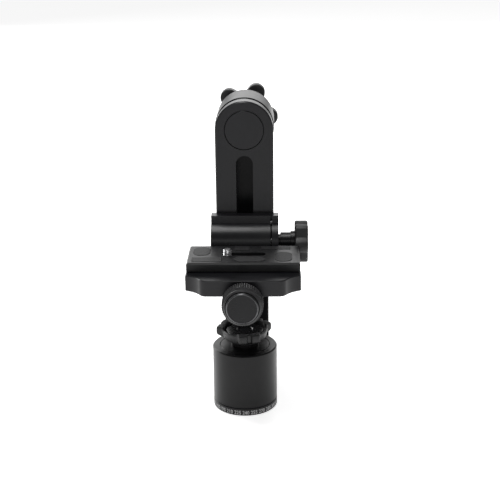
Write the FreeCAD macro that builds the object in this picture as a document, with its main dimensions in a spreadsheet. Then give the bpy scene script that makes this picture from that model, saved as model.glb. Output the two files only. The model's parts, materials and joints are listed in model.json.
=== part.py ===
"""Side-arm gimbal head: an alt azimuth mount for a camera or a spotting scope.

The frame has its origin at the centre of the base's underside, Z up, X along the
camera plate and Y from the quick-release knob towards the tilt lock knob.
"""
import FreeCAD, Part
import Sketcher
import math
import os

# Driving dimensions, in millimetres.
DIMENSIONS = (
    ("ring_radius", 24.0),
    ("ring_height", 5.7),
    ("ring_seam", 0.2),
    ("housing_top", 48.0),
    ("neck_radius", 10.5),
    ("neck_top", 53.6),
    ("spindle_radius", 7.0),
    ("stud_radius", 4.0),
    ("tripod_thread_radius", 4.7625),
    ("tripod_thread_depth", 12.5),
    ("pan_knob_low", 54.05),
    ("pan_knob_top", 62.3),
    ("pan_knob_rim", 60.8),
    ("pan_knob_reach", 20.0),
    ("arm_low", 8.0),
    ("leg_top", 30.0),
    ("column_width", 35.0),
    ("column_front", 62.0),
    ("column_back", 80.0),
    ("tilt_height", 202.1),
    ("head_radius", 22.3),
    ("head_front", 53.0),
    ("head_back", 88.0),
    ("shaft_radius", 8.0),
    ("swing_front", 40.0),
    ("swing_back", 51.0),
    ("swing_width", 43.6),
    ("swing_bottom", 90.0),
    ("slot_width", 12.7),
    ("slot_top", 182.8),
    ("slot_bottom", 98.0),
    ("cap_radius", 14.6),
    ("tilt_knob_front", 98.0),
    ("tilt_knob_back", 112.0),
    ("tilt_lobe_centre", 18.7),
    ("tilt_lobe_radius", 6.9),
    ("bracket_width", 50.8),
    ("bracket_front", 32.5),
    ("bracket_back", 53.5),
    ("bracket_low", 90.5),
    ("bracket_top", 138.4),
    ("boss_radius", 16.2),
    ("boss_y", 36.8),
    ("boss_z", 116.9),
    ("bracket_shelf", 129.5),
    ("side_screw_radius", 2.5),
    ("jaw_slit", 1.0),
    ("jaw_thickness", 5.0),
    ("side_knob_near", 37.7),
    ("side_knob_far", 47.7),
    ("side_lobe_centre", 11.6),
    ("side_lobe_radius", 4.5),
    ("clamp_width", 82.4),
    ("clamp_low", 100.0),
    ("clamp_top", 112.0),
    ("clamp_floor", 105.75),
    ("jaw_end_y", -25.91),
    ("jaw_front_y", -37.7),
    ("grip_z", 97.1),
    ("grip_radius", 14.6),
    ("grip_back", -40.0),
    ("grip_front", -52.0),
    ("disc_front", -54.0),
    ("disc_radius", 11.4),
    ("plate_length", 81.6),
    ("plate_width", 40.4),
    ("plate_y", 0.0),
    ("plate_top", 119.0),
    ("plate_skirt", 112.6),
    ("dovetail_half", 18.9),
    ("dovetail_neck", 16.2),
    ("camera_thread_radius", 3.175),
    ("camera_screw_x", -12.0),
    ("running_gap", 0.05),
)

doc = FreeCAD.newDocument("gimbal_head")
sheet = doc.addObject("Spreadsheet::Sheet", "dims")
nodes = []


class Size:
    """A length that holds both its value and the expression that gives it."""

    def __init__(self, value, text):
        self.value = value
        self.text = text

    def join(self, sign, other, value):
        return Size(value, f"({self.text} {sign} {size(other).text})")

    def __add__(self, other):
        return self.join("+", other, self.value + size(other).value)

    def __sub__(self, other):
        return self.join("-", other, self.value - size(other).value)

    def __mul__(self, other):
        return self.join("*", other, self.value * size(other).value)

    def __truediv__(self, other):
        return self.join("/", other, self.value / size(other).value)

    def __radd__(self, other):
        return size(other) + self

    def __rsub__(self, other):
        return size(other) - self

    def __neg__(self):
        return Size(-self.value, f"(0 - {self.text})")


def size(number):
    """A plain number as a Size; a Size stays as it is."""
    if isinstance(number, Size):
        return number
    return Size(float(number), f"({float(number)!r})")


class Dims:
    """The sheet's cells, read by alias."""


dim = Dims()
for row, (alias, number) in enumerate(DIMENSIONS, start=1):
    sheet.set(f"A{row}", alias)
    sheet.set(f"B{row}", str(number))
    sheet.setAlias(f"B{row}", alias)
    setattr(dim, alias, Size(number, f"dims.{alias}"))
doc.recompute()

# How a piece's own Z (and for plates its X and Y) turns onto a world axis.
ALONG = {
    "X": FreeCAD.Rotation(FreeCAD.Vector(1, 1, 1), 120),
    "Y": FreeCAD.Rotation(FreeCAD.Vector(1, 0, 0), -90),
    "Z": FreeCAD.Rotation(),
}
UPRIGHT = FreeCAD.Rotation(FreeCAD.Vector(1, 0, 0), 90)


def bind(thing, prop, length):
    thing.setExpression(prop, size(length).text)


def place(thing, rotation, x=0, y=0, z=0):
    """Turns a piece and binds its position."""
    thing.Placement = FreeCAD.Placement(FreeCAD.Vector(), rotation)
    for letter, length in (("x", x), ("y", y), ("z", z)):
        bind(thing, "Placement.Base." + letter, length)
    return thing


def box(name, x, y, z):
    """A block between two values along each axis."""
    block = doc.addObject("Part::Box", name)
    for prop, (low, high) in (("Length", x), ("Width", y), ("Height", z)):
        bind(block, prop, size(high) - low)
    return place(block, FreeCAD.Rotation(), x[0], y[0], z[0])


def rod(name, axis, radius, span, x=0, y=0, z=0):
    """A cylinder along an axis, between the two values of span."""
    low, high = span
    cylinder = doc.addObject("Part::Cylinder", name)
    bind(cylinder, "Radius", radius)
    bind(cylinder, "Height", size(high) - low)
    centre = {"X": x, "Y": y, "Z": z}
    centre[axis] = low
    return place(cylinder, ALONG[axis], centre["X"], centre["Y"], centre["Z"])


def united(name, *pieces):
    if len(pieces) == 1:
        return pieces[0]
    fuse = doc.addObject("Part::MultiFuse", name)
    fuse.Shapes = list(pieces)
    return fuse


def cut(name, base, *tools):
    result = doc.addObject("Part::Cut", name)
    result.Base = base
    result.Tool = united(name + "_tools", *tools)
    return result


def group(name, pieces):
    """Separate alike solids that share one node."""
    compound = doc.addObject("Part::Compound", name)
    compound.Links = list(pieces)
    return compound


def node(label, thing):
    """Marks a finished sub-part; its label names its file."""
    thing.Label = label
    nodes.append(thing)
    return thing


def plane_of(body, role):
    return next(item for item in body.Origin.OriginFeatures if item.Role == role)


def new_sketch(body, name, role):
    sketch = body.newObject("Sketcher::SketchObject", name)
    sketch.AttachmentSupport = [(plane_of(body, role), "")]
    sketch.MapMode = "FlatFace"
    return sketch


def pin_point(sketch, geometry, point, x, y):
    """Fixes a sketch point at bound distances from the origin."""
    for kind, length in (("DistanceX", x), ("DistanceY", y)):
        length = size(length)
        index = sketch.addConstraint(
            Sketcher.Constraint(kind, -1, 1, geometry, point, length.value))
        sketch.setExpression(f"Constraints[{index}]", length.text)


def draw(sketch, corners):
    """Draws a closed outline through corners (x, y).

    A corner (x, y, centre_x, centre_y, turn) starts an arc to the next one about
    that centre: turn is 1 for anticlockwise and -1 for clockwise.
    """
    spot = [FreeCAD.Vector(size(corner[0]).value, size(corner[1]).value) for corner in corners]
    starts, ends = [], []
    for index, corner in enumerate(corners):
        here, there = spot[index], spot[(index + 1) % len(spot)]
        if len(corner) == 2:
            number = sketch.addGeometry(Part.LineSegment(here, there))
            starts.append((number, 1))
            ends.append((number, 2))
            continue
        centre_x, centre_y, turn = corner[2:]
        centre = FreeCAD.Vector(size(centre_x).value, size(centre_y).value)
        first, last = (here, there) if turn > 0 else (there, here)
        angles = [math.atan2(point.y - centre.y, point.x - centre.x) for point in (first, last)]
        if angles[1] <= angles[0]:
            angles[1] += 2 * math.pi
        circle = Part.Circle(centre, FreeCAD.Vector(0, 0, 1), (here - centre).Length)
        number = sketch.addGeometry(Part.ArcOfCircle(circle, *angles))
        starts.append((number, 1 if turn > 0 else 2))
        ends.append((number, 2 if turn > 0 else 1))
        chord = there - here
        kind, length = ("DistanceY", centre_y) if abs(chord.x) > abs(chord.y) else ("DistanceX", centre_x)
        index_of = sketch.addConstraint(
            Sketcher.Constraint(kind, -1, 1, number, 3, size(length).value))
        sketch.setExpression(f"Constraints[{index_of}]", size(length).text)
    for index, corner in enumerate(corners):
        pin_point(sketch, *starts[index], corner[0], corner[1])
        following = (index + 1) % len(corners)
        sketch.addConstraint(Sketcher.Constraint("Coincident", *ends[index], *starts[following]))


def circle_in(sketch, radius, x=0, y=0):
    """Draws a circle with its radius and centre bound."""
    centre = FreeCAD.Vector(size(x).value, size(y).value)
    ring = Part.Circle(centre, FreeCAD.Vector(0, 0, 1), size(radius).value)
    number = sketch.addGeometry(ring)
    index = sketch.addConstraint(Sketcher.Constraint("Radius", number, size(radius).value))
    sketch.setExpression(f"Constraints[{index}]", size(radius).text)
    pin_point(sketch, number, 3, x, y)


def turned(name, axis, profile, x=0, y=0, z=0):
    """A body turned about an axis from a closed profile of (radius, place along it)."""
    body = doc.addObject("PartDesign::Body", name)
    sketch = new_sketch(body, name + "_profile", "XZ_Plane")
    draw(sketch, profile)
    turn = body.newObject("PartDesign::Revolution", name + "_turn")
    turn.Profile = sketch
    turn.ReferenceAxis = (sketch, ["V_Axis"])
    turn.Angle = 360
    return place(body, ALONG[axis], x, y, z)


def tube(name, axis, inner, outer, span, x=0, y=0, z=0, bevel=0.3):
    """A turned ring with bevelled outer edges."""
    low, high = span
    profile = [(inner, low), (size(outer) - bevel, low), (outer, size(low) + bevel),
               (outer, size(high) - bevel), (size(outer) - bevel, high), (inner, high)]
    return turned(name, axis, profile, x, y, z)


def plate(name, axis, outline, span):
    """A body padded along an axis between the two values of span.

    The outline is in (X, Y) for Z, in (X, Z) for Y and in (Y, Z) for X.
    """
    low, high = span
    body = doc.addObject("PartDesign::Body", name)
    sketch = new_sketch(body, name + "_outline", "XY_Plane")
    draw(sketch, outline)
    pad = body.newObject("PartDesign::Pad", name + "_pad")
    pad.Profile = sketch
    bind(pad, "Length", size(high) - low)
    if axis == "Y":
        return place(body, UPRIGHT, y=high)
    return place(body, ALONG[axis], **{axis.lower(): low})


def bevel_edges(body, length, chosen):
    """Chamfers the tip's edges that chosen(edge) picks, in the body's own frame."""
    doc.recompute()
    tip = body.Tip
    names = [f"Edge{number}" for number, edge in enumerate(tip.Shape.Edges, start=1) if chosen(edge)]
    chamfer = body.newObject("PartDesign::Chamfer", body.Name + "_bevel")
    chamfer.Base = (tip, names)
    bind(chamfer, "Size", length)
    return body


def in_end_faces(body):
    """Picks the edges that lie in the two faces square to the body's own Z."""
    doc.recompute()
    bounds = body.Tip.Shape.BoundBox

    def chosen(edge):
        low, high = edge.BoundBox.ZMin, edge.BoundBox.ZMax
        flat = high - low < 0.001
        return flat and min(abs(low - bounds.ZMin), abs(high - bounds.ZMax)) < 0.001
    return chosen


def spread(count, circle, start=90):
    """Yields points evenly spread on a circle."""
    for index in range(count):
        angle = math.radians(start + 360 * index / count)
        yield size(circle) * math.cos(angle), size(circle) * math.sin(angle)


def screws(name, places, axis, head, shank, head_span, shank_span):
    """A group of plain cylinder-head screws along an axis."""
    pieces = []
    for number, where in enumerate(places, start=1):
        top = rod(f"{name}_head_{number}", axis, head, head_span, *where)
        stem = rod(f"{name}_stem_{number}", axis, shank, shank_span, *where)
        pieces.append(united(f"{name}_{number}", top, stem))
    return group(name + "_group", pieces)


def rods(name, places, axis, radius, span):
    return [rod(f"{name}_{number}", axis, radius, span, *where)
            for number, where in enumerate(places, start=1)]


def add_lobes(body, count, centre, radius, span):
    """Adds round lobes to a turned body, patterned about its axis."""
    low, high = span
    sketch = new_sketch(body, body.Name + "_lobe", "XY_Plane")
    bind(sketch, "AttachmentOffset.Base.z", low)
    circle_in(sketch, radius, centre)
    pad = body.newObject("PartDesign::Pad", body.Name + "_lobe_pad")
    pad.Profile = sketch
    bind(pad, "Length", size(high) - low)
    pattern = body.newObject("PartDesign::PolarPattern", body.Name + "_lobes")
    pattern.Originals = [pad]
    pattern.Axis = (plane_of(body, "Z_Axis"), [""])
    pattern.Angle = 360
    pattern.Occurrences = count
    body.Tip = pattern
    return body


def turn_about_axis(body, axis, degrees):
    """Sets the angle at which a knob stands about its own axis."""
    own = FreeCAD.Rotation(FreeCAD.Vector(0, 0, 1), degrees)
    body.Placement.Rotation = ALONG[axis].multiply(own)
    return body


# ---------------------------------------------------------------- tripod base

spindle_screw_places = [(x, y) for x, y in spread(3, 11.5)]


def make_tripod_base():
    ring = tube("ring_blank", "Z", dim.ring_radius / 3 + 0.02, dim.ring_radius,
                (0, dim.ring_height), bevel=0.4)
    holes = rods("ring_hole", spindle_screw_places, "Z", 1.6, (-1, dim.ring_height + 1))
    sinks = rods("ring_sink", spindle_screw_places, "Z", 3.1, (-1, 3.2))
    node("scale_ring", cut("ring_drilled", ring, *holes, *sinks))

    bush_low, bush_high = 6.5, 14.0
    seat = dim.ring_radius / 3
    node("tripod_bush", turned("tripod_bush_body", "Z", [
        (dim.tripod_thread_radius, 0), (seat, 0), (seat, dim.ring_height - 0.02),
        (bush_low, dim.ring_height - 0.02), (bush_low, bush_high), (0, bush_high),
        (0, dim.tripod_thread_depth), (dim.tripod_thread_radius, dim.tripod_thread_depth)]))

    spindle = turned("spindle_blank", "Z", [
        (bush_low + 0.02, dim.ring_height), (14, dim.ring_height), (14, 9), (9.5, 9), (9.5, 16),
        (dim.spindle_radius, 16), (dim.spindle_radius, 49), (dim.stud_radius, 49),
        (dim.stud_radius, 57.4), (dim.stud_radius - 0.5, 57.8), (0, 57.8),
        (0, bush_high + 0.02), (bush_low + 0.02, bush_high + 0.02)])
    taps = rods("spindle_tap", spindle_screw_places, "Z", 1.52, (5, 8.7))
    node("pan_spindle", cut("spindle_tapped", spindle, *taps))

    node("spindle_screws", screws("spindle_screw", spindle_screw_places, "Z", 3, 1.5,
                                  (0.3, 3.2), (3.2, 8.5)))
    node("base_washer", tube("base_washer_body", "Z", 10, 13.8, (9.0, 9.25), bevel=0.05))


# ------------------------------------------------------------------- pan part

arm_screw_places = [(side * 8, 0, 19) for side in (-1, 1)]


def make_pan_part():
    low = dim.ring_height + dim.ring_seam
    outer, top = dim.ring_radius, dim.housing_top
    housing = turned("housing_blank", "Z", [
        (14.6, low), (outer - 0.4, low), (outer, low + 0.4), (outer, top - 0.8), (outer - 0.8, top),
        (18.8, top), (18.8, top - 4), (9.52, top - 4), (9.52, top - 10), (8.2, top - 10),
        (8.2, 23), (9.52, 23), (9.52, 17), (10.3, 17), (10.3, 9.3), (14.6, 9.3)])
    taps = rods("housing_tap", arm_screw_places, "Y", 3.02, (15, dim.ring_radius + 1))
    node("pan_housing", cut("housing_tapped", housing, *taps))

    bore = dim.spindle_radius + 0.04
    node("pan_bush_lower", tube("pan_bush_lower_body", "Z", bore, 9.5, (17, 23)))
    node("pan_bush_upper", tube("pan_bush_upper_body", "Z", bore, 9.5, (top - 10, top - 4)))
    neck, neck_top = dim.neck_radius, dim.neck_top
    inner = dim.spindle_radius + 0.3
    node("housing_cap", turned("housing_cap_body", "Z", [
        (inner, top - 4), (18.5, top - 4), (18.5, top - 0.3), (18.2, top), (neck, top),
        (neck, neck_top - 0.4), (neck - 0.4, neck_top), (inner, neck_top)]))
    node("neck_washer", tube("neck_washer_body", "Z", dim.stud_radius + 0.3, 9,
                             (neck_top, dim.pan_knob_low - dim.running_gap), bevel=0.1))
    make_l_arm()


def make_l_arm():
    """The L-arm: a leg behind the housing, a column and the round tilt head."""
    back, front = dim.column_back, dim.column_front
    low, inner, outer = dim.arm_low, 8, 10
    profile = [
        (10, low), (back - outer, low, back - outer, low + outer, 1), (back, low + outer),
        (back, dim.tilt_height), (front, dim.tilt_height),
        (front, dim.leg_top + inner, front - inner, dim.leg_top + inner, -1),
        (front - inner, dim.leg_top), (10, dim.leg_top)]
    half = dim.column_width / 2
    column = plate("column", "X", profile, (-half, half))
    bevel_edges(column, 0.8, in_end_faces(column))
    head = tube("head_blank", "Y", 9, dim.head_radius, (dim.head_front, dim.head_back),
                z=dim.tilt_height, bevel=1)
    centre = {"z": dim.tilt_height}
    bore = rod("head_bore", "Y", 9, (dim.head_front - 1, dim.head_back + 1), **centre)
    seats = [rod(f"head_seat_{number}", "Y", 11.02, span, **centre) for number, span in enumerate(
        ((dim.head_front - 1, dim.head_front + 7), (dim.head_back - 7, dim.head_back + 1)))]
    round_seat = rod("leg_seat", "Z", dim.ring_radius + 0.02, (0, dim.housing_top))
    holes = rods("leg_hole", arm_screw_places, "Y", 3.05, (0, 41))
    sinks = rods("leg_sink", arm_screw_places, "Y", 5.1, (40, dim.column_back + 1))
    arm = united("arm_joined", column, head)
    node("l_arm", cut("arm_drilled", arm, bore, *seats, round_seat, *holes, *sinks))
    node("arm_base_screws", screws("arm_base_screw", arm_screw_places, "Y", 5, 3,
                                   (40, 46), (15.5, 40)))

    shaft = dim.shaft_radius
    for name, span in (("tilt_bush_front", (dim.head_front, dim.head_front + 7)),
                       ("tilt_bush_rear", (dim.head_back - 7, dim.head_back))):
        node(name, tube(name + "_body", "Y", shaft + 0.04, 11, span, z=dim.tilt_height))
    rings = (
        ("head_washer", 16, (dim.swing_back + dim.running_gap, dim.head_front), 0.1),
        ("thrust_collar", 13, (dim.head_back, dim.head_back + 6), 0.6),
        ("disc_springs", 11, (dim.head_back + 6, dim.head_back + 8.5), 0.8),
        ("rear_washer", 12, (dim.head_back + 8.5, dim.tilt_knob_front - dim.running_gap), 0.4))
    for name, outer, span, bevel in rings:
        node(name, tube(name + "_body", "Y", shaft + 0.3, outer, span, z=dim.tilt_height,
                        bevel=bevel))


# -------------------------------------------------------------- pan lock knob

PAN_KNOB_ANGLE = -78


def make_pan_lock_knob():
    """The three-lobed knob with a dished top on the housing's neck."""
    low, top, rim = dim.pan_knob_low, dim.pan_knob_top, dim.pan_knob_rim
    knob = turned("pan_knob_body", "Z", [
        (7.02, low), (15.6, low), (16.1, low + 0.5), (17.2, rim - 0.5), (16.7, rim),
        (15.2, rim), (14.95, low + 3.95), (7.02, low + 3.95)])
    sketch = new_sketch(knob, "pan_knob_lobe", "XY_Plane")
    bind(sketch, "AttachmentOffset.Base.z", low + 0.3)
    inner, reach, half, corner = 15.8, dim.pan_knob_reach - 1, 8, 1.2
    draw(sketch, [(inner, -half), (reach - corner, -half), (reach, corner - half),
                  (reach, half - corner), (reach - corner, half), (inner, half)])
    pad = knob.newObject("PartDesign::Pad", "pan_knob_lobe_pad")
    pad.Profile = sketch
    bind(pad, "Length", top - low - 0.3)
    pattern = knob.newObject("PartDesign::PolarPattern", "pan_knob_lobes")
    pattern.Originals = [pad]
    pattern.Axis = (plane_of(knob, "Z_Axis"), [""])
    pattern.Angle = 360
    pattern.Occurrences = 3
    knob.Tip = pattern
    node("pan_lock_knob", turn_about_axis(knob, "Z", PAN_KNOB_ANGLE))

    node("pan_knob_insert", tube("pan_knob_insert_body", "Z", dim.stud_radius + 0.03, 7,
                                 (low, low + 3.95), bevel=0.2))
    node("pan_knob_disc", turned("pan_knob_disc_body", "Z", [
        (0, low + 3.95), (14.7, low + 3.95), (14.7, low + 5), (13.9, low + 6), (0, low + 6)]))

    grips, near, wide = [], 1.2, half - corner
    for number in range(6):
        angle = PAN_KNOB_ANGLE + 120 * (number // 2)
        side = near if number % 2 else -wide
        grip = box(f"grip_{number + 1}", (0, 1), (0, wide - near), (low + 0.6, top - 0.5))
        turn = math.radians(angle)
        rotation = FreeCAD.Rotation(FreeCAD.Vector(0, 0, 1), angle)
        place(grip, rotation, reach * math.cos(turn) - side * math.sin(turn),
              reach * math.sin(turn) + side * math.cos(turn), low + 0.6)
        grips.append(grip)
    node("pan_knob_grips", group("grips", grips))


# ------------------------------------------------------------------ tilt part

def around_tilt(places):
    """Puts (x, z) offsets round the tilt axis as (x, y, z) places."""
    return [(x, 0, dim.tilt_height + z) for x, z in places]


flange_screw_places = around_tilt(spread(3, 10.6))


def make_tilt_part():
    half, top = dim.swing_width / 2, dim.tilt_height
    front, back = dim.swing_front, dim.swing_back
    low = dim.swing_bottom
    arm = plate("swing_blank", "Y", [
        (-half, low), (half, low), (half, top, 0, top, 1), (-half, top)], (front, back))
    bevel_edges(arm, 0.9, in_end_faces(arm))
    through = (front - 1, back + 1)
    radius = dim.slot_width / 2
    slot_low, slot_high = dim.slot_bottom + radius, dim.slot_top - radius
    slot = [box("slot_middle", (-radius, radius), through, (slot_low, slot_high)),
            rod("slot_end_low", "Y", radius, through, z=slot_low),
            rod("slot_end_high", "Y", radius, through, z=slot_high)]
    recesses = [
        rod("cap_recess", "Y", dim.cap_radius + 0.3, (front - 1, front + 2.6), z=top),
        rod("flange_recess", "Y", 13.05, (front, front + 6), z=top),
        rod("shaft_hole", "Y", dim.shaft_radius + 0.02, through, z=top)]
    taps = rods("arm_tap", flange_screw_places, "Y", 1.52, (front + 5, front + 10.3))
    node("swing_arm", cut("swing_machined", arm, *slot, *recesses, *taps))

    stud_end = dim.tilt_knob_back - 2.5
    shaft = turned("shaft_blank", "Y", [
        (0, front + 2.6), (13, front + 2.6), (13, front + 6), (dim.shaft_radius, front + 6),
        (dim.shaft_radius, 96), (5, 96), (5, stud_end - 0.5), (4.5, stud_end), (0, stud_end)],
        z=top)
    holes = rods("flange_hole", flange_screw_places, "Y", 1.55, (front + 2, front + 7))
    sinks = rods("flange_sink", flange_screw_places, "Y", 2.35, (front + 2, front + 4.3))
    node("pivot_shaft", cut("shaft_drilled", shaft, *holes, *sinks))
    node("shaft_flange_screws", screws("flange_screw", flange_screw_places, "Y", 2.3, 1.5,
                                       (front + 2.7, front + 4.3), (front + 4.3, front + 10)))
    node("pivot_cap", turned("pivot_cap_body", "Y", [
        (0, front), (dim.cap_radius - 0.4, front), (dim.cap_radius, front + 0.4),
        (dim.cap_radius, front + 2.6), (0, front + 2.6)], z=top))


def make_tilt_lock_knob():
    """The five-lobed knob behind the head."""
    front, back, top = dim.tilt_knob_front, dim.tilt_knob_back, dim.tilt_height
    knob = turned("tilt_knob_body", "Y", [
        (7.52, front), (12.6, front), (13, front + 0.4), (13, front + 3.6), (15.6, front + 4.4),
        (16, front + 4.8), (16, back - 0.8), (15.2, back), (10.1, back), (10.1, back - 2),
        (7.52, back - 2)], z=top)
    add_lobes(knob, 5, dim.tilt_lobe_centre, dim.tilt_lobe_radius, (front + 4, back))
    node("tilt_lock_knob", turn_about_axis(knob, "Y", 8))
    node("tilt_knob_insert", tube("tilt_knob_insert_body", "Y", 5.03, 7.5, (front, back - 2),
                                  z=top))
    node("tilt_knob_cap", turned("tilt_knob_cap_body", "Y", [
        (0, back - 2), (10, back - 2), (10, back - 0.4), (9.6, back), (0, back)], z=top))


# --------------------------------------------------------------------- slider

pin_places = [(0, 36, height) for height in (104, 132)]
bolt_places = [(side * 9, 0, 96) for side in (-1, 1)]
guide_places = [(side * 20, 0, 102.9) for side in (-1, 1)]


def bracket_block(name, x):
    """The bracket's profile, front boss included, between two values of X."""
    block = box(name + "_block", x, (dim.bracket_front, dim.bracket_back),
                (dim.bracket_low, dim.bracket_top))
    boss = rod(name + "_boss", "X", dim.boss_radius, x, y=dim.boss_y, z=dim.boss_z)
    step = box(name + "_step", x, (41, dim.bracket_back + 1),
               (dim.bracket_shelf, dim.bracket_top + 1))
    return cut(name + "_stepped", united(name + "_joined", block, boss), step)


def arm_channel(name, x):
    """The room that the swing arm takes, with its running gap."""
    gap = dim.running_gap
    return box(name, x, (dim.swing_front - gap, dim.swing_back + gap),
               (dim.bracket_low - 1, dim.bracket_top + 1))


def make_slider():
    half = dim.bracket_width / 2
    jaw_inner = half - dim.jaw_thickness
    side = dim.swing_width / 2 + dim.running_gap
    block = bracket_block("bracket", (-half, jaw_inner - dim.jaw_slit))
    channel = arm_channel("bracket_channel", (-side, half))
    opening = box("bracket_opening", (-jaw_inner, half), (dim.swing_back, dim.bracket_back + 1),
                  (dim.bracket_low - 1, dim.bracket_top + 1))
    thread = rod("bracket_thread", "X", dim.side_screw_radius + 0.02, (-15, half), y=dim.boss_y,
                 z=dim.boss_z)
    pin_holes = rods("bracket_pin_hole", pin_places, "X", 1.52, (9.5, half))
    bolt_holes = rods("bracket_bolt_hole", bolt_places, "Y", 2.55, (dim.bracket_front - 1, 41))
    bolt_sinks = rods("bracket_bolt_sink", bolt_places, "Y", 4.3, (35.5, 41))
    stop_hole = rod("bracket_stop_hole", "Y", 2.52, (33, 41), z=108)
    node("slider_bracket", cut("bracket_machined", block, channel, opening, thread, *pin_holes,
                               *bolt_holes, *bolt_sinks, stop_hole))
    node("travel_stop_pin", united(
        "stop_joined", rod("stop_stem", "Y", 2.5, (33.2, dim.swing_front - 0.05), z=108),
        rod("stop_head", "Y", 5.5, (dim.swing_front - 0.05, 47), z=108)))
    node("jaw_guide_pins", group("pins", rods("pin", pin_places, "X", 1.5, (10, 24.5))))

    jaw = bracket_block("jaw", (jaw_inner, half))
    jaw_channel = arm_channel("jaw_channel", (0, side))
    jaw_hole = rod("jaw_hole", "X", dim.side_screw_radius + 0.2, (0, half + 1), y=dim.boss_y,
                   z=dim.boss_z)
    jaw_pin_holes = rods("jaw_pin_hole", pin_places, "X", 1.56, (0, half + 1))
    node("slider_jaw", cut("jaw_machined", jaw, jaw_channel, jaw_hole, *jaw_pin_holes))
    make_clamp_body()
    node("clamp_bolts", screws("clamp_bolt", bolt_places, "Y", 4.2, 2.5, (35.5, 39.5), (19, 35.5)))
    node("qr_guide_rods", group("guides", rods("guide", guide_places, "Y", 1.8, (-33, 8))))


def make_clamp_body():
    """The quick-release clamp's fixed half: floor, rear dovetail wall and screw block."""
    low, floor, top = dim.clamp_low, dim.clamp_floor, dim.clamp_top
    centre, room, slope_top = dim.plate_y, 0.1, 110.45
    neck, flange = centre + dim.dovetail_neck + room, centre + dim.dovetail_half + room
    fall = dim.dovetail_half - dim.dovetail_neck
    half, split, rear = dim.clamp_width / 2, -18.6, 20.8
    floor_body = plate("clamp_floor_body", "X", [
        (split, low), (rear, low), (rear, top), (neck, top), (neck, slope_top),
        (flange, slope_top - fall), (flange, floor), (split, floor)], (-half, half))
    block = box("clamp_block", (-14, 14), (split, dim.bracket_front), (dim.bracket_low, low + 0.5))
    back = box("clamp_back", (-24, 24), (rear - 1, rear + 6), (low, top))
    foot = box("clamp_foot", (-14, 14), (rear - 1, dim.bracket_front), (low, low + 4))
    boss_room = rod("boss_room", "X", dim.boss_radius + 0.1, (-half, half),
                    y=dim.boss_y, z=dim.boss_z)
    thread = rod("grip_thread", "Y", 3.02, (split - 1, 20), z=dim.grip_z)
    spring_room = rod("spring_room", "Y", 5.2, (split - 1, -6), z=dim.grip_z)
    taps = rods("clamp_tap", bolt_places, "Y", 2.52, (18, dim.bracket_front + 1))
    guides = rods("clamp_guide", guide_places, "Y", 1.82, (split - 1, 8.5))
    joined = united("clamp_joined", floor_body, block, back, foot)
    node("clamp_body", cut("clamp_machined", joined, boss_room, thread, spring_room, *taps,
                           *guides))


# ---------------------------------------------------------------- slider knob

def make_slider_knob():
    """The side knob that pulls the slider jaw onto the arm."""
    near, far = dim.side_knob_near, dim.side_knob_far
    where = {"y": dim.boss_y, "z": dim.boss_z}
    screw = dim.side_screw_radius
    bore, end = screw + 0.02, far - 4
    core = dim.side_lobe_centre + 1.6
    knob = turned("side_knob_body", "X", [
        (bore, near), (core - 0.5, near), (core, near + 0.5), (core, far - 0.6), (core - 0.6, far),
        (0, far), (0, end), (bore, end)], **where)
    add_lobes(knob, 6, dim.side_lobe_centre, dim.side_lobe_radius, (near, far))
    node("slider_knob", knob)
    start = dim.bracket_width / 2 + dim.running_gap
    node("slider_knob_sleeve", turned("side_sleeve_body", "X", [
        (bore, start), (5.5, start), (5.5, start + 1.3), (7, start + 1.5), (7, near - 3.3),
        (8, near - 3.1), (8, near), (bore, near)], **where))
    node("slider_clamp_screw", turned("side_screw_body", "X", [
        (0, -12), (screw - 0.5, -12), (screw, -11.5), (screw, end - 0.1), (0, end - 0.1)],
        **where))


# -------------------------------------------------------------- quick release

def make_qr_jaw():
    """The moving jaw: a bow-tie bar with a dovetail hook and a round screw boss."""
    half, end, front = dim.clamp_width / 2, dim.jaw_end_y, dim.jaw_front_y
    hook = dim.plate_y - dim.dovetail_neck - 0.1
    wall = dim.plate_y - dim.dovetail_half - 0.1
    # each side sweeps back by one arc of 60 degrees, then a wider one that ends at 20 degrees
    tight, wide = 6, 20
    steep, shallow = math.radians(60), math.radians(20)
    turn_x = half - wide * (math.sin(steep) - math.sin(shallow))
    turn_y = end - wide * (math.cos(shallow) - math.cos(steep))
    flat = turn_x - tight * math.sin(steep)
    wide_x, wide_y = turn_x + wide * math.sin(steep), turn_y - wide * math.cos(steep)
    outline = [
        (-half, hook), (-half, end, -wide_x, wide_y, -1), (-turn_x, turn_y, -flat, front + tight, 1),
        (-flat, front), (flat, front, flat, front + tight, 1), (turn_x, turn_y, wide_x, wide_y, -1),
        (half, end), (half, hook)]
    bar = plate("jaw_bar", "Z", outline, (dim.clamp_low, dim.clamp_top))
    bevel_edges(bar, 0.6, in_end_faces(bar))
    slope_top = 110.45
    fall = dim.dovetail_half - dim.dovetail_neck
    low = dim.clamp_low - 1
    groove = plate("jaw_groove", "X", [
        (hook + 1, low), (hook + 1, slope_top), (hook, slope_top), (wall, slope_top - fall),
        (wall, low)], (-half - 1, half + 1))
    boss = rod("jaw_boss", "Y", 11, (dim.grip_back + dim.running_gap, -24), z=dim.grip_z)
    screw_hole = rod("jaw_screw_hole", "Y", 3.2, (dim.grip_back - 1, -15), z=dim.grip_z)
    guide_holes = rods("jaw_guide_hole", guide_places, "Y", 1.86, (-33.5, -15))
    spring_room = rod("jaw_spring_room", "Y", 5.2, (-24, -15), z=dim.grip_z)
    bar_cut = cut("bar_grooved", bar, groove)
    joined = united("qr_jaw_joined", bar_cut, boss)
    node("qr_jaw", cut("qr_jaw_machined", joined, screw_hole, spring_room, *guide_holes))


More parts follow.
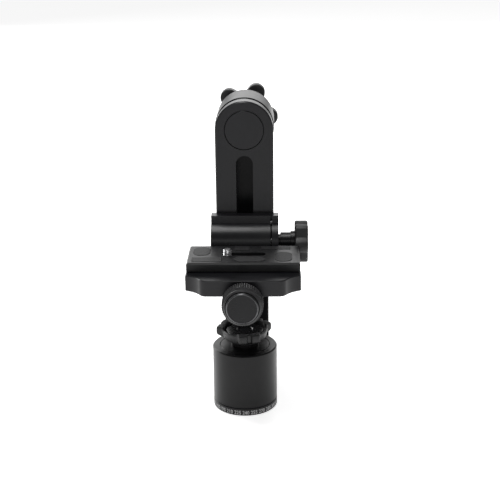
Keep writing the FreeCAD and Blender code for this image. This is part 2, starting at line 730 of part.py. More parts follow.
def make_jaw_spring():
    """The coil spring that opens the jaw when the knob lets go."""
    path = doc.addObject("Part::Helix", "spring_path")
    bind(path, "Pitch", 2.8)
    bind(path, "Height", 15.4)
    bind(path, "Radius", 4.2)
    wire = doc.addObject("Part::Circle", "spring_wire")
    bind(wire, "Radius", 0.5)
    place(wire, FreeCAD.Rotation(FreeCAD.Vector(1, 0, 0), 90), x=4.2)
    spring = doc.addObject("Part::Sweep", "spring_sweep")
    spring.Sections = [wire]
    spring.Spine = (path, ["Edge1"])
    spring.Solid = True
    spring.Frenet = True
    node("qr_jaw_spring", place(spring, ALONG["Y"], y=-22.8, z=dim.grip_z))


def make_qr_knob():
    """The round knurled knob in front of the jaw, with its screw."""
    back, front, height = dim.grip_back, dim.grip_front, dim.grip_z
    radius, bore = dim.grip_radius, 3.02
    node("qr_knob", turned("qr_knob_body", "Y", [
        (bore, front), (radius - 1.2, front), (radius, front + 1), (radius, back - 0.8),
        (radius - 0.8, back), (bore, back)], z=height))
    disc = dim.disc_radius
    node("qr_knob_disc", turned("qr_knob_disc_body", "Y", [
        (0, dim.disc_front), (disc - 1, dim.disc_front), (disc, dim.disc_front + 1), (disc, front),
        (0, front)], z=height))
    node("qr_clamp_screw", turned("qr_screw_body", "Y", [
        (0, front), (3, front), (3, 14.5), (2.5, 15), (0, 15)], z=height))


# --------------------------------------------------------------- camera plate

def plate_pad_shapes(name, grow, z):
    """The rubber pads' shapes, grown a little for their pockets."""
    pads = [
        box(name + "_front", (-37 - grow, -16 + grow), (-17 - grow, -7.5 + grow), z),
        box(name + "_back", (12.5 - grow, 34 + grow), (11 - grow, 17.3 + grow), z),
        box(name + "_middle_back", (-7.5 - grow, 4 + grow), (9 - grow, 17.3 + grow), z)]
    for side, (x, y_low, y_high) in (("left", (-31, 3, 9.8)), ("right", (29, -10.5, -1.5))):
        radius = 6 + grow
        pads.append(united(f"{name}_{side}",
                           box(f"{name}_{side}_middle", (x - radius, x + radius), (y_low, y_high), z),
                           rod(f"{name}_{side}_near", "Z", radius, z, x, y_low),
                           rod(f"{name}_{side}_far", "Z", radius, z, x, y_high)))
    left, right, low, high, point = -3.5 - grow, 12 + grow, -17 - grow, -5.5 + grow, 4.5
    middle = (low + high) / 2
    pads.append(plate(name + "_hexagon", "Z", [
        (left, low), (right, low), (right + point, middle), (right, high), (left, high),
        (left - point, middle)], z))
    return pads


def make_camera_plate():
    """The dovetail plate with its slot, rubber pads and camera screw."""
    centre, half = dim.plate_y, dim.plate_length / 2
    wide, flange, neck = dim.plate_width / 2, dim.dovetail_half, dim.dovetail_neck
    low, slope_top, skirt, top = dim.clamp_floor + 0.05, 110.4, dim.plate_skirt, dim.plate_top
    slope_low = slope_top - (flange - neck)
    right = [(flange, low), (flange, slope_low), (neck, slope_top), (neck, skirt), (wide, skirt),
             (wide, top)]
    outline = [(centre + y, z) for y, z in right] + [(centre - y, z) for y, z in reversed(right)]
    body = plate("camera_plate_body", "X", outline, (-half, half))
    bevel_edges(body, 1.2, top_edges(body))
    recess = box("plate_recess", (-36, 36), (centre - 9, centre + 9), (low - 1, 112.4))
    slot_half, slot_end = 3.4, 12.6
    through = (112, top + 1)
    slot = [box("plate_slot", (-slot_end, slot_end), (-slot_half, slot_half), through),
            rod("plate_slot_left", "Z", slot_half, through, -slot_end),
            rod("plate_slot_right", "Z", slot_half, through, slot_end)]
    pockets = plate_pad_shapes("pocket", 0.25, (top - 0.8, top + 1))
    node("camera_plate", cut("plate_machined", body, recess, *slot, *pockets))
    node("plate_pads", group("pads", plate_pad_shapes("pad", 0, (top - 0.8, top + 0.2))))

    node("screw_retainer", tube("retainer_body", "Z", 3.25, 6.3, (112.0, 112.36),
                                x=dim.camera_screw_x, bevel=0.05))
    thread, shank, root = dim.camera_thread_radius, 2.95, top + 0.3
    screw = turned("camera_screw_body", "Z", [
        (0, 109), (6.1, 109), (6.5, 109.4), (6.5, 111.95), (shank, 111.95), (shank, root),
        (thread, root + 0.2), (thread, 122.2), (thread - 0.8, 123.0), (0, 123.0)],
        x=dim.camera_screw_x)
    coin_slot = box("coin_slot", (dim.camera_screw_x - 8, dim.camera_screw_x + 8), (-0.8, 0.8),
                    (108, 110.3))
    node("camera_screw", cut("camera_screw_cut", screw, coin_slot))


def top_edges(body):
    """Picks the plate's upper edges, highest in the body's own Y."""
    doc.recompute()
    highest = body.Tip.Shape.BoundBox.YMax

    def chosen(edge):
        return edge.BoundBox.YMin > highest - 0.001
    return chosen


def check_and_write():
    """Stops on any failed object or shape, then writes each sub-part."""
    doc.recompute()
    for item in doc.Objects:
        if "Invalid" in item.State or "Error" in item.State:
            raise RuntimeError(f"{item.Name} ({item.Label}) failed: {item.State}")
    for piece in nodes:
        shape = piece.Shape
        if shape.isNull() or not shape.isValid() or not shape.Solids:
            raise RuntimeError(f"{piece.Label} has no valid solid")
    os.makedirs("parts", exist_ok=True)
    for piece in nodes:
        piece.Shape.exportStep(f"parts/{piece.Label}.step")
    print(len(nodes), "sub-parts written")


make_tripod_base()
make_pan_part()
make_pan_lock_knob()
make_tilt_part()
make_tilt_lock_knob()
make_slider()
make_slider_knob()
make_qr_jaw()
make_jaw_spring()
make_qr_knob()
make_camera_plate()
check_and_write()
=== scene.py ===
"""The looks of a side-arm gimbal head: materials, finely made knobs, numerals and a studio.

Lengths are in metres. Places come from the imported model's boxes, so the script follows it.
"""

import json
import math
import bpy
from mathutils import Matrix, Vector


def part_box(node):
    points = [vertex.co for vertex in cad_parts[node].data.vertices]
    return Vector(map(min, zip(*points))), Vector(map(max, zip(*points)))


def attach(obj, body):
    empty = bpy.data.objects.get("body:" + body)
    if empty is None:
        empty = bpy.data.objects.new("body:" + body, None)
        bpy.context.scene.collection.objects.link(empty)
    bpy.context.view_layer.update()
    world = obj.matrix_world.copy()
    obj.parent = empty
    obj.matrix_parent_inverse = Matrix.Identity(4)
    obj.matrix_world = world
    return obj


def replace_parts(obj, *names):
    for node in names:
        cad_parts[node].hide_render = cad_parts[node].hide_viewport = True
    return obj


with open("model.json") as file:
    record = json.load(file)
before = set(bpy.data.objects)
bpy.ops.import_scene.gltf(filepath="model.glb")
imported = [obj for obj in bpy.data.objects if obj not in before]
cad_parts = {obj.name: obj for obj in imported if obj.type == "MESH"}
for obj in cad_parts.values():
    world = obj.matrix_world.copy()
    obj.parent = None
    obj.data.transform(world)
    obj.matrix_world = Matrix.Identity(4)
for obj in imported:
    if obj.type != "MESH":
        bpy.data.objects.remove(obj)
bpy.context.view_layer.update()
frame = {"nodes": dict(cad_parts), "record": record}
nodes = frame["nodes"]
MM = 0.001
FULL_TURN = 2 * math.pi


# ------------------------------------------------------------------ small tools

def centre_of(node):
    low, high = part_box(node)
    return (Vector(low) + Vector(high)) / 2


def span_of(node, axis):
    """Lowest and highest value of a node along axis 0, 1 or 2."""
    low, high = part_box(node)
    return low[axis], high[axis]


def new_mesh(name, points, faces, smooth=True):
    mesh = bpy.data.meshes.new(name)
    mesh.from_pydata(points, [], faces)
    mesh.validate()
    item = bpy.data.objects.new(name, mesh)
    bpy.context.scene.collection.objects.link(item)
    if smooth:
        mesh.shade_smooth()
        mesh.set_sharp_from_angle(angle=math.radians(32))
    return item


# A piece made along its own Z is turned onto the axis that it stands on.
TURNS = {
    "X": Matrix(((0, 0, 1), (1, 0, 0), (0, 1, 0))),
    "-Y": Matrix(((1, 0, 0), (0, 0, -1), (0, 1, 0))),
    "Y": Matrix(((1, 0, 0), (0, 0, 1), (0, -1, 0))),
    "Z": Matrix.Identity(3),
}


def seat(item, axis, origin):
    """Moves a mesh made about its own Z to its place in the frame."""
    item.data.transform(Matrix.Translation(Vector(origin)) @ TURNS[axis].to_4x4())
    return item


def circle(radius, height, segments):
    """A ring of points about the Z axis."""
    return [(radius * math.cos(FULL_TURN * k / segments),
             radius * math.sin(FULL_TURN * k / segments), height) for k in range(segments)]


def ring_stack(name, rings):
    """A closed mesh skinned over rings of points, all with the same number of points."""
    count = len(rings[0])
    points = [point for ring in rings for point in ring]
    faces = []
    for level in range(len(rings) - 1):
        for index in range(count):
            following = (index + 1) % count
            low, high = level * count, (level + 1) * count
            faces.append((low + index, low + following, high + following, high + index))
    faces.append(tuple(range(count))[::-1])
    faces.append(tuple(range(len(points) - count, len(points))))
    return new_mesh(name, points, faces)


def rounded(profile, radius, steps=4):
    """Rounds every corner between the two ends of an open line of (r, z) points."""
    result = [profile[0]]
    for before, corner, after in zip(profile, profile[1:], profile[2:]):
        here = Vector(corner)
        into, out = Vector(before) - here, Vector(after) - here
        reach = min(radius, into.length * 0.45, out.length * 0.45)
        start, end = here + into.normalized() * reach, here + out.normalized() * reach
        for step in range(steps + 1):
            share = step / steps
            result.append(tuple(start * (1 - share) ** 2 + here * 2 * share * (1 - share)
                                + end * share ** 2))
    result.append(profile[-1])
    return result


def lathe(name, profile, segments=128):
    """A turned piece from a line of (radius, z) points; both ends are closed."""
    return ring_stack(name, [circle(radius, height, segments) for radius, height in profile])


def shaped(name, levels, reach, segments=240):
    """A piece whose outline at each level, a tuple that starts with z, is reach(angle, level)."""
    rings = []
    for level in levels:
        ring = []
        for k in range(segments):
            angle = FULL_TURN * k / segments
            radius = reach(angle, level)
            ring.append((radius * math.cos(angle), radius * math.sin(angle), level[0]))
        rings.append(ring)
    return ring_stack(name, rings)


def blend_min(first, second, softness):
    """The lesser of two distances, with a soft join."""
    share = max(softness - abs(first - second), 0) / softness
    return min(first, second) - share * share * softness / 4


HALVINGS = 26


def edge_of(field, angle, outside):
    """Where a ray from the axis leaves the region with field < 0."""
    inner, outer = 0.0, outside
    for _ in range(HALVINGS):
        middle = (inner + outer) / 2
        if field(middle * math.cos(angle), middle * math.sin(angle)) < 0:
            inner = middle
        else:
            outer = middle
    return inner


# -------------------------------------------------------------------- materials

def shader(name, colour, roughness, metallic=0.0, specular=0.5):
    """A new material and its main shader."""
    material = bpy.data.materials.new(name)
    material.use_nodes = True
    tree = material.node_tree
    main = tree.nodes["Principled BSDF"]
    main.inputs["Base Color"].default_value = (*colour, 1)
    main.inputs["Roughness"].default_value = roughness
    main.inputs["Metallic"].default_value = metallic
    main.inputs["Specular IOR Level"].default_value = specular
    return material, tree, main


def object_points(tree, stretch=(1, 1, 1)):
    """Texture places from the mesh itself, stretched for brushed grain."""
    place = tree.nodes.new("ShaderNodeTexCoord")
    mapping = tree.nodes.new("ShaderNodeMapping")
    mapping.inputs["Scale"].default_value = stretch
    tree.links.new(place.outputs["Object"], mapping.inputs["Vector"])
    return mapping.outputs["Vector"]


def noise(tree, points, scale, detail=3.0, rough=0.6):
    texture = tree.nodes.new("ShaderNodeTexNoise")
    texture.inputs["Scale"].default_value = scale
    texture.inputs["Detail"].default_value = detail
    texture.inputs["Roughness"].default_value = rough
    tree.links.new(points, texture.inputs["Vector"])
    return texture.outputs["Fac"]


def between(tree, factor, low, high, from_low=0.3, from_high=0.7):
    """A value between low and high that follows a texture."""
    ramp = tree.nodes.new("ShaderNodeMapRange")
    ramp.inputs["From Min"].default_value = from_low
    ramp.inputs["From Max"].default_value = from_high
    ramp.inputs["To Min"].default_value = low
    ramp.inputs["To Max"].default_value = high
    tree.links.new(factor, ramp.inputs["Value"])
    return ramp.outputs["Result"]


def tinted(tree, factor, dark, light):
    """A colour between two that follows a texture."""
    mix = tree.nodes.new("ShaderNodeMix")
    mix.data_type = "RGBA"
    mix.inputs["A"].default_value = (*dark, 1)
    mix.inputs["B"].default_value = (*light, 1)
    tree.links.new(factor, mix.inputs["Factor"])
    return mix.outputs["Result"]


def bump(tree, main, height, strength, distance):
    node = tree.nodes.new("ShaderNodeBump")
    node.inputs["Strength"].default_value = strength
    node.inputs["Distance"].default_value = distance
    tree.links.new(height, node.inputs["Height"])
    tree.links.new(node.outputs["Normal"], main.inputs["Normal"])


def coated_metal(name, dark, light, roughness, grain=2600, depth=0.00003, stretch=(1, 1, 1),
                 specular=0.38):
    """Blasted and anodised aluminium: a fine grain and faint clouding."""
    material, tree, main = shader(name, dark, roughness, specular=specular)
    points = object_points(tree, stretch)
    fine = noise(tree, points, grain, 2.0)
    cloud = noise(tree, object_points(tree), 60, 3.0)
    tree.links.new(tinted(tree, between(tree, cloud, 0.0, 1.0), dark, light),
                   main.inputs["Base Color"])
    tree.links.new(between(tree, cloud, roughness - 0.03, roughness + 0.04),
                   main.inputs["Roughness"])
    bump(tree, main, fine, 0.3, depth)
    return material


def rubber(name, dark, light, grain=900, depth=0.00016, roughness=0.72):
    """Moulded rubber with an orange-peel grain."""
    material, tree, main = shader(name, dark, roughness, specular=0.35)
    points = object_points(tree)
    grains = noise(tree, points, grain, 4.0, 0.65)
    tree.links.new(tinted(tree, between(tree, grains, 0.0, 1.0), dark, light),
                   main.inputs["Base Color"])
    tree.links.new(between(tree, grains, roughness - 0.1, roughness + 0.1),
                   main.inputs["Roughness"])
    bump(tree, main, grains, 0.8, depth)
    return material


def bare_metal(name, dark, light, roughness, grain=700):
    """Bright turned or brushed metal."""
    material, tree, main = shader(name, dark, roughness, metallic=1.0)
    lines = noise(tree, object_points(tree), grain, 3.0)
    tree.links.new(tinted(tree, between(tree, lines, 0.0, 1.0), dark, light),
                   main.inputs["Base Color"])
    tree.links.new(between(tree, lines, roughness - 0.06, roughness + 0.1),
                   main.inputs["Roughness"])
    bump(tree, main, lines, 0.25, 0.00002)
    return material


LOOKS = {
    "anodised_black": coated_metal("anodised_black_look", (0.0055, 0.0055, 0.0065),
                                   (0.0085, 0.0085, 0.0100), 0.31, depth=0.000008,
                                   specular=0.25),
    "housing_black": coated_metal("housing_black_look", (0.0045, 0.0045, 0.0048),
                                  (0.0070, 0.0070, 0.0074), 0.32, depth=0.000015,
                                  stretch=(1, 1, 0.2), specular=0.2),
    "ring_black": coated_metal("ring_black_look", (0.005, 0.005, 0.0055),
                               (0.008, 0.008, 0.0088), 0.4, specular=0.25),
    "plate_black": coated_metal("plate_black_look", (0.007, 0.007, 0.0075),
                                (0.011, 0.011, 0.0118), 0.42, stretch=(0.06, 1, 1),
                                specular=0.24),
    "knob_rubber": rubber("knob_rubber_look", (0.003, 0.003, 0.0033), (0.011, 0.011, 0.0118),
                          roughness=0.45),
    "knob_black": coated_metal("knob_black_look", (0.0045, 0.0045, 0.0052),
                               (0.0075, 0.0075, 0.0085), 0.26, depth=0.000015, specular=0.2),
    "knurled_black": rubber("knurled_black_look", (0.012, 0.012, 0.0128), (0.024, 0.024, 0.025),
                            grain=1200, depth=0.00008, roughness=0.45),
    "pad_rubber": rubber("pad_rubber_look", (0.007, 0.007, 0.0076), (0.013, 0.013, 0.0138),
                         grain=1400, depth=0.00005, roughness=0.62),
    "steel": bare_metal("steel_look", (0.14, 0.14, 0.145), (0.24, 0.24, 0.245), 0.34),
    "screw_steel": bare_metal("screw_steel_look", (0.22, 0.22, 0.225), (0.62, 0.62, 0.63), 0.34,
                              grain=1500),
    "bronze": bare_metal("bronze_look", (0.42, 0.28, 0.13), (0.6, 0.42, 0.2), 0.38),
    "washer_plastic": rubber("washer_plastic_look", (0.006, 0.006, 0.006),
                             (0.012, 0.012, 0.012), roughness=0.5, depth=0.00003),
}
white_paint = rubber("numeral_paint", (0.28, 0.28, 0.28), (0.4, 0.4, 0.4), depth=0.00001,
                     roughness=0.55)

# A darker, less glossy copy of the anodised black for the L-arm: painted shade that darkens the
# column seen through the slot and under the clamp.
arm_painted_shade = coated_metal("arm_painted_shade_look", (0.0030, 0.0030, 0.0034),
                            (0.0050, 0.0050, 0.0056), 0.3, depth=0.000008, specular=0.12)
cut_edge = bare_metal("cut_edge_look", (0.05, 0.05, 0.052), (0.1, 0.1, 0.104), 0.34)

slot_of = {entry["node"]: entry["material_slot"] for entry in frame["record"]["subparts"]}


def paint(item, slot_name, look=None):
    """Gives a piece the look of a record slot, or another finish of the same material."""
    item.data.materials.clear()
    item.data.materials.append(look or LOOKS[slot_name])
    return item


def paint_frame():
    for name, item in nodes.items():
        item.data.materials.clear()
        item.data.materials.append(LOOKS[slot_of[name]])
    # The L-arm wears the darker copy of the anodised black: painted shade.
    nodes["l_arm"].data.materials[0] = arm_painted_shade


def soften_edges(name, width, segments=2):
    """Rounds the sharp edges of a CAD node a little, as a deburred edge is."""
    modifier = nodes[name].modifiers.new("deburred", "BEVEL")
    modifier.width = width
    modifier.segments = segments
    modifier.limit_method = "ANGLE"
    modifier.angle_limit = math.radians(40)
    modifier.harden_normals = False


# ----------------------------------------------------------------------- knobs

def rounded_levels(low, high, soft, inset, steps=6):
    """Levels (z, inset): a flat end, a soft rim, the side, a soft rim and a flat end."""
    rim = []
    for step in range(steps + 1):
        angle = math.pi / 2 * step / steps
        rim.append((soft * (1 - math.cos(angle)), soft * (1 - math.sin(angle))))
    lower = [(low + rise, back) for rise, back in rim]
    upper = [(high - rise, back) for rise, back in reversed(rim)]
    return [(low, inset)] + lower + upper + [(high, inset)]


def outlined(name, field, levels, outside, segments=240):
    """A piece whose outline is the region field < 0, drawn in by each level's inset."""
    edge = [edge_of(field, FULL_TURN * k / segments, outside) for k in range(segments)]

    def reach(angle, level):
        return edge[round(angle / FULL_TURN * segments) % segments] - level[1]
    return shaped(name, levels, reach, segments)


def star_field(count, centre, radius, core, start, softness):
    """Distance to a core with round lobes, all softly joined."""
    lobes = [(centre * math.cos(start + FULL_TURN * k / count),
              centre * math.sin(start + FULL_TURN * k / count)) for k in range(count)]

    def field(x, y):
        lobe = min(math.hypot(x - u, y - v) for u, v in lobes) - radius
        return blend_min(lobe, math.hypot(x, y) - core, softness)
    return field


def make_tilt_lock_knob():
    """Five grained lobes round a turned hub that stands off the head."""
    front, back = span_of("tilt_lock_knob", 1)
    axis = centre_of("pivot_cap")
    field = star_field(count=5, centre=18.6 * MM, radius=6.95 * MM, core=15.4 * MM,
                       start=math.radians(8), softness=7 * MM)
    levels = rounded_levels(low=4 * MM, high=back - front, soft=1.7 * MM, inset=6 * MM)
    lobes = outlined("tilt_knob_lobes", field, levels, outside=30 * MM)
    seat(lobes, "Y", (axis.x, front, axis.z))
    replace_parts(paint(lobes, "knob_rubber"), "tilt_lock_knob")
    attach(lobes, "tilt_lock_knob_body")
    hub = lathe("tilt_knob_hub", rounded(
        [(9 * MM, 0.05 * MM), (13 * MM, 0.05 * MM), (13 * MM, 3.2 * MM), (14.5 * MM, 4.3 * MM),
         (9 * MM, 4.3 * MM)], 0.5 * MM))
    seat(hub, "Y", (axis.x, front, axis.z))
    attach(paint(hub, "knob_black"), "tilt_lock_knob_body")
    cap_front = span_of("tilt_knob_cap", 1)[0]
    cap = lathe("tilt_knob_end_cap", rounded(
        [(3 * MM, 0), (9.9 * MM, 0), (9.9 * MM, 2 * MM), (7.2 * MM, 2 * MM), (6.6 * MM, 1.5 * MM),
         (1 * MM, 1.5 * MM)], 0.35 * MM))
    seat(cap, "Y", (axis.x, cap_front, axis.z))
    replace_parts(paint(cap, "knob_black"), "tilt_knob_cap")
    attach(cap, "tilt_lock_knob_body")


def make_slider_knob():
    """The side knob: six round lobes, soft rims and a shallow dish in its outer face."""
    near, far = span_of("slider_knob", 0)
    axis = centre_of("slider_knob")
    thick, flat, dish = far - near, 4.5 * MM, 0.7 * MM
    field = star_field(count=6, centre=11.5 * MM, radius=4.6 * MM, core=12.6 * MM, start=0,
                       softness=4 * MM)
    levels = rounded_levels(low=0, high=thick, soft=1.3 * MM, inset=flat)
    levels[-1:] = [(thick, flat), (thick - dish, 5.2 * MM)]
    knob = outlined("side_knob_star", field, levels, outside=20 * MM)
    seat(knob, "X", (near, axis.y, axis.z))
    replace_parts(paint(knob, "knob_rubber"), "slider_knob")
    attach(knob, "slider_knob_body")


def make_qr_knob():
    """The quick-release knob: a ribbed grip and a stepped face with a bright bevel."""
    front, back = span_of("qr_knob", 1)
    axis = centre_of("qr_knob")
    radius, ribs, rib_depth, points_per_rib = 14.6 * MM, 54, 1.3 * MM, 10

    def reach(angle, level):
        _, inset, ribbed = level
        rib = 0.5 - 0.5 * math.cos(ribs * angle)
        return radius - inset - ribbed * (1 - rib) * rib_depth
    deep = back - front
    levels = [(0, 6 * MM, 0), (0, 0.6 * MM, 0), (0.5 * MM, 0.1 * MM, 0.2), (0.9 * MM, 0, 1),
              (deep - 3.4 * MM, 0, 1), (deep - 3.0 * MM, 0.1 * MM, 0.2),
              (deep - 2.9 * MM, 0.7 * MM, 0), (deep - 2.3 * MM, 0.8 * MM, 0),
              (deep - 2.2 * MM, 1.2 * MM, 0), (deep - 1.0 * MM, 1.4 * MM, 0),
              (deep, 2.5 * MM, 0), (deep - 1.2 * MM, 3.1 * MM, 0),
              (deep - 1.2 * MM, 6 * MM, 0)]
    grip = shaped("qr_knob_grip", levels, reach, segments=ribs * points_per_rib)
    seat(grip, "-Y", (axis.x, back, axis.z))
    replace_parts(paint(grip, "knurled_black"), "qr_knob")
    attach(grip, "qr_knob_body")
    disc_front, disc_back = span_of("qr_knob_disc", 1)
    thick = disc_back - disc_front
    disc = lathe("qr_knob_face", rounded(
        [(8 * MM, 0), (10.9 * MM, 0), (10.9 * MM, thick - 0.8 * MM), (10.4 * MM, thick - 0.3 * MM),
         (1 * MM, thick - 0.3 * MM)], 0.12 * MM))
    seat(disc, "-Y", (axis.x, disc_back, axis.z))
    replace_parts(paint(disc, "knob_black"), "qr_knob_disc")
    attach(disc, "qr_knob_body")
    edge = lathe("qr_knob_edge", rounded(
        [(10.5 * MM, 0), (11.35 * MM, 0), (11.35 * MM, thick - 0.8 * MM), (10.7 * MM, thick),
         (10.3 * MM, thick), (10.3 * MM, thick - 0.6 * MM)], 0.15 * MM))
    seat(edge, "-Y", (axis.x, disc_back, axis.z))
    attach(paint(edge, "knob_black", cut_edge), "qr_knob_body")


def make_pan_lock_knob():
    """The three-eared pan lock knob: a dished bowl whose ears carry grained grips."""
    low, high = span_of("pan_lock_knob", 2)
    axis = centre_of("pan_knob_disc")
    ears, half, reach_out, start = 3, 8 * MM, 20 * MM, math.radians(-78)
    segments, tall, rim, outside = 360, high - low, 6.75 * MM, 30 * MM
    soft, corner, inside, ear_root = 1.5 * MM, 1.2 * MM, 15.2 * MM, 10 * MM
    groove, groove_deep, groove_side, grip = 1.4 * MM, 2.0 * MM, 0.5 * MM, 1.0 * MM
    shoulder_start, shoulder, shoulder_wide = 16.5 * MM, 1.3 * MM, 1.6 * MM

    def ear_gap(angle, radius):
        """How far a point lies outside the nearest ear's outline."""
        x, y = radius * math.cos(angle), radius * math.sin(angle)
        gaps = []
        for k in range(ears):
            turn = start + FULL_TURN * k / ears
            along = x * math.cos(turn) + y * math.sin(turn)
            across = abs(y * math.cos(turn) - x * math.sin(turn))
            gaps.append(Vector((max(along - reach_out + corner, ear_root - along, 0),
                                max(across - half + corner, 0))).length - corner)
        return min(gaps)

    def groove_depth(angle):
        """The dark groove that parts an ear's outer face into two grips."""
        turn = (angle - start + math.pi / ears) % (FULL_TURN / ears) - math.pi / ears
        across = abs(reach_out * math.sin(turn))
        return groove_deep * min(max((groove + groove_side - across) / groove_side, 0), 1)

    def outline(bowl, inset, lean):
        """The bowl with its ears; under a small lean the ears keep close to the bowl."""
        edge = []
        for k in range(segments):
            angle = FULL_TURN * k / segments
            edge.append(edge_of(lambda x, y: blend_min(
                math.hypot(x, y) - bowl, ear_gap(math.atan2(y, x), math.hypot(x, y)), soft),
                angle, outside) - inset)
            if edge[-1] > reach_out - grip:
                edge[-1] -= groove_depth(angle)
            edge[-1] = min(edge[-1], bowl - inset + (edge[-1] + inset - bowl) * lean)
        return edge

    def top_at(angle, radius):
        """The top's height: low along the rim and high on the ears, with soft shoulders."""
        gap = ear_gap(angle, max(radius, shoulder_start))
        share = min(max((shoulder - gap) / shoulder_wide, 0), 1)
        return rim + (tall - rim) * share * share * (3 - 2 * share)

    rings = []
    for share, bowl, inset, lean in (
            (0, 15.6, 4, 0.1), (0, 15.6, 0.5, 0.1), (0.03, 15.7, 0.1, 0.2), (0.1, 15.8, 0, 0.4),
            (0.25, 16.1, 0, 0.85), (0.4, 16.4, 0, 1), (0.7, 16.8, 0, 1), (0.86, 17.1, 0.05, 1),
            (0.95, 17.2, 0.25, 1), (1, 17.2, 0.7, 1)):
        ring = []
        for k, edge in enumerate(outline(bowl * MM, inset * MM, lean)):
            angle = FULL_TURN * k / segments
            ring.append((edge * math.cos(angle), edge * math.sin(angle),
                         top_at(angle, edge) * share))
        rings.append(ring)
    for back, drop in ((0.4, 0.0), (0.0, 0.15), (-0.15, 0.6)):
        ring = []
        for k in range(segments):
            angle = FULL_TURN * k / segments
            size = inside + back * MM
            ring.append((size * math.cos(angle), size * math.sin(angle),
                         top_at(angle, size) - drop * MM))
        rings.append(ring)
    floor_height = 4.0 * MM
    rings += [circle(radius * MM, floor_height, segments) for radius in (14.95, 8.0)]
    bowl_piece = ring_stack("pan_knob_bowl", rings)
    seat(bowl_piece, "Z", (axis.x, axis.y, low))
    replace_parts(paint(bowl_piece, "knob_rubber"), "pan_lock_knob", "pan_knob_grips")
    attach(bowl_piece, "pan_lock_knob_body")
    disc_low, disc_high = span_of("pan_knob_disc", 2)
    thick = disc_high - disc_low
    disc = lathe("pan_knob_face", rounded(
        [(8 * MM, 0), (14.6 * MM, 0), (14.6 * MM, thick - 1.0 * MM), (13.7 * MM, thick),
         (6.2 * MM, thick), (5.6 * MM, thick - 0.6 * MM), (1 * MM, thick - 0.6 * MM)], 0.15 * MM))
    seat(disc, "Z", (axis.x, axis.y, disc_low))
    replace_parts(paint(disc, "knob_black"), "pan_knob_disc")
    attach(disc, "pan_lock_knob_body")


# --------------------------------------------------------------- camera plate

def make_camera_screw():
    """The bright screw: a round head below the plate and a real thread above."""
    low, high = span_of("camera_screw", 2)
    axis = centre_of("screw_retainer")
    radius, pitch, depth, segments = 3.17 * MM, 1.27 * MM, 0.6 * MM, 64
    head_top, lead_out, lead_in, core_inset = 2.95 * MM, 0.9 * MM, 1.2 * MM, 0.2 * MM
    rings = [circle(size * MM, height * MM, segments) for size, height in (
        (4.2, 1.4), (4.3, 0.1), (5.9, 0), (6.3, 0.15), (6.45, 0.5), (6.45, 2.6), (6.2, 2.9))]
    rings += [circle(3.4 * MM, head_top, segments),
              circle(2.5 * MM, head_top + 0.05 * MM, segments)]
    steps, bottom, top = 150, head_top + 0.1 * MM, high - low
    for step in range(steps + 1):
        height = bottom + (top - bottom) * step / steps
        lead = min((top - height) / lead_out, (height - bottom) / lead_in, 1)
        ring = []
        for k in range(segments):
            angle = FULL_TURN * k / segments
            tooth = abs(2 * ((height / pitch - k / segments) % 1) - 1)
            crest = radius - depth * max(0.0, 1 - 1.25 * tooth)
            size = crest * lead + (radius - depth - core_inset) * (1 - lead)
            ring.append((size * math.cos(angle), size * math.sin(angle), height))
        rings.append(ring)
    screw = ring_stack("camera_screw_thread", rings)
    seat(screw, "Z", (axis.x, axis.y, low))
    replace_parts(paint(screw, "screw_steel"), "camera_screw")
    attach(screw, "camera_screw_body")


# ------------------------------------------------------------------- numerals

RING_STEP = 15
FRONT_NUMBER = 240
FRONT_ANGLE = 2
MOST_DIGITS = 3


def make_numerals():
    """White numbers every 15 degrees round the fixed ring, each nearly filling its place."""
    low, high = span_of("scale_ring", 2)
    radius = span_of("scale_ring", 0)[1] + 0.03 * MM
    tall, wide, bottom = 3.1 * MM, 5.1 * MM, low + 1.0 * MM
    points, faces = [], []
    for number in range(0, 360, RING_STEP):
        curve = bpy.data.curves.new("number", "FONT")
        curve.body = f"{number}"
        curve.resolution_u = 3
        curve.offset = 0.02
        item = bpy.data.objects.new("number", curve)
        shape = bpy.data.meshes.new_from_object(item)
        across = [vertex.co.x for vertex in shape.vertices]
        up = [vertex.co.y for vertex in shape.vertices]
        middle, share = (min(across) + max(across)) / 2, len(f"{number}") / MOST_DIGITS
        squeeze = wide * share / (max(across) - min(across))
        stretch = tall / (max(up) - min(up))
        base, place = len(points), math.radians(number - FRONT_NUMBER + FRONT_ANGLE)
        for x, y in zip(across, up):
            turn = place + (x - middle) * squeeze / radius
            points.append((radius * math.sin(turn), -radius * math.cos(turn),
                           bottom + (y - min(up)) * stretch))
        faces.extend(tuple(base + index for index in face.vertices) for face in shape.polygons)
        bpy.data.objects.remove(item)
        bpy.data.curves.remove(curve)
        bpy.data.meshes.remove(shape)
    numerals = new_mesh("scale_numerals", points, faces, smooth=False)
    numerals.data.materials.append(white_paint)
    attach(numerals, "tripod_base")


paint_frame()
for part, width in (("camera_plate", 0.35), ("plate_pads", 0.3)):
    soften_edges(part, width * MM)
make_tilt_lock_knob()
make_slider_knob()
make_qr_knob()
make_pan_lock_knob()
make_camera_screw()
make_numerals()


# ------------------------------------------------------------------------ studio

LENS, SENSOR = 75.9, 36
CAMERA_PLACE = (0.0226, -0.7282, 0.3659)
LOOK_DOWN, HEADING, ROLL = 18.5, 1.42, -0.6
FLOOR_HALF = 9
FLOOR_GLOW, WORLD_GLOW = 0.72, 0.22
MIDDLE = (0, 0.03, 0.12)

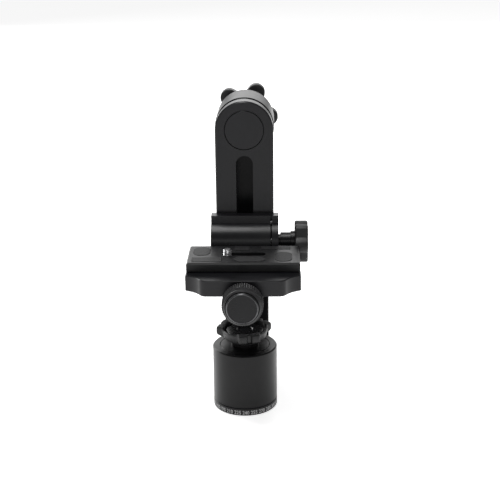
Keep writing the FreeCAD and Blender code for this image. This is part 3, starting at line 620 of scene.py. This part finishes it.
# Each light: its place, what it points at, its width and height, and its watts.
LIGHTS = {
    "back_wall_light": ((0, 2.2, 1.0), (0, 0, 0.2), 3.4, 1.1, 28),
    "front_light": ((0.0, -1.5, 0.72), MIDDLE, 1.4, 0.24, 2.5),
    "top_light": ((-0.1, 0.05, 1.2), MIDDLE, 0.7, 0.3, 8),
    "left_back_light": ((-1.4, 1.4, 1.0), MIDDLE, 1.2, 1.2, 26),
}


def aim(item, place, target):
    item.location = place
    item.rotation_euler = (Vector(target) - Vector(place)).to_track_quat("-Z", "Y").to_euler()


def make_camera():
    """A long lens a little above the head, looking along the tilt axis."""
    data = bpy.data.cameras.new("camera")
    data.sensor_width = SENSOR
    data.lens = LENS
    camera = bpy.data.objects.new("camera", data)
    bpy.context.scene.collection.objects.link(camera)
    camera.location = CAMERA_PLACE
    pitch, heading, roll = math.radians(90 - LOOK_DOWN), math.radians(HEADING), math.radians(ROLL)
    camera.rotation_euler = (Matrix.Rotation(heading, 3, "Z") @ Matrix.Rotation(pitch, 3, "X")
                             @ Matrix.Rotation(roll, 3, "Z")).to_euler()
    bpy.context.scene.camera = camera


def soft_box(name, place, target, width, height, power):
    data = bpy.data.lights.new(name, "AREA")
    data.shape = "RECTANGLE"
    data.size, data.size_y = width, height
    data.energy = power
    lamp = bpy.data.objects.new(name, data)
    bpy.context.scene.collection.objects.link(lamp)
    aim(lamp, place, target)


def make_studio():
    far = FLOOR_HALF
    floor = new_mesh("floor", [(-far, -far, 0), (far, -far, 0), (far, far, 0), (-far, far, 0)],
                     [(0, 1, 2, 3)], smooth=False)
    paper, _, main = shader("paper", (0.9, 0.9, 0.9), 0.9)
    main.inputs["Emission Color"].default_value = (1, 1, 1, 1)
    main.inputs["Emission Strength"].default_value = FLOOR_GLOW
    floor.data.materials.append(paper)
    for name, light in LIGHTS.items():
        soft_box(name, *light)
    world = bpy.data.worlds.new("studio")
    world.use_nodes = True
    world.node_tree.nodes["Background"].inputs["Color"].default_value = (1, 1, 1, 1)
    world.node_tree.nodes["Background"].inputs["Strength"].default_value = WORLD_GLOW
    bpy.context.scene.world = world
    bpy.context.scene.view_settings.view_transform = "Standard"


make_camera()
make_studio()
